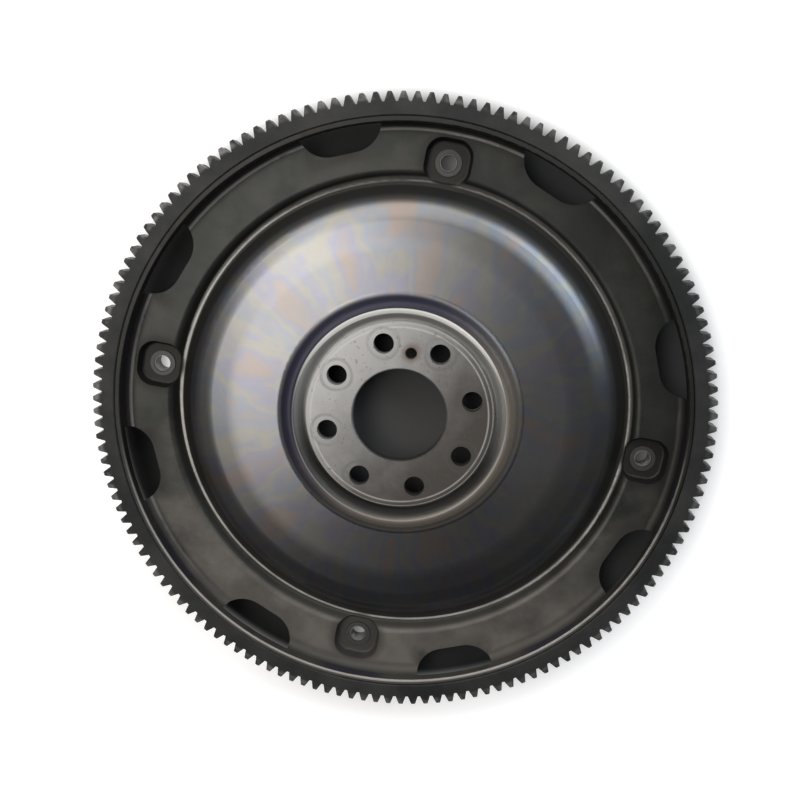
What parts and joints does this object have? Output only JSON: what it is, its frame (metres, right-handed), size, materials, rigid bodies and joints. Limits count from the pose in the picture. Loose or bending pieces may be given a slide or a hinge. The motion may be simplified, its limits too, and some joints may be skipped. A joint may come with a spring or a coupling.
{
  "type": "drive plate with flywheel ring gear",
  "caption": "Pressed steel drive plate whose toothed rim gear meshes with a starter pinion, with a crankshaft bolting face at its hub and weld nuts in its flange.",
  "frame": {"origin": "centre of the crankshaft bolt circle, in the plane of the back face that seats on the crankshaft", "axes": "+Z along the crankshaft axis towards the front, +X through one weld nut, +Y through the weld nut beside the dowel hole"},
  "size_m": [0.3352, 0.3352, 0.028],
  "materials": {
    "gear_steel": "dark induction-hardened steel, matt",
    "plate_steel": "smooth cold-rolled steel with a faint heat tint, satin",
    "disc_steel": "ground steel with rust specks, matt",
    "nut_steel": "plain steel, satin",
    "weld_steel": "oxidised weld metal, matt"
  },
  "bodies": {
    "root": {"ring_gear": "gear_steel", "drive_plate": "plate_steel", "hub_disc": "disc_steel", "weld_nuts": "nut_steel", "weld_beads": "weld_steel"}
  },
  "joints": []
}
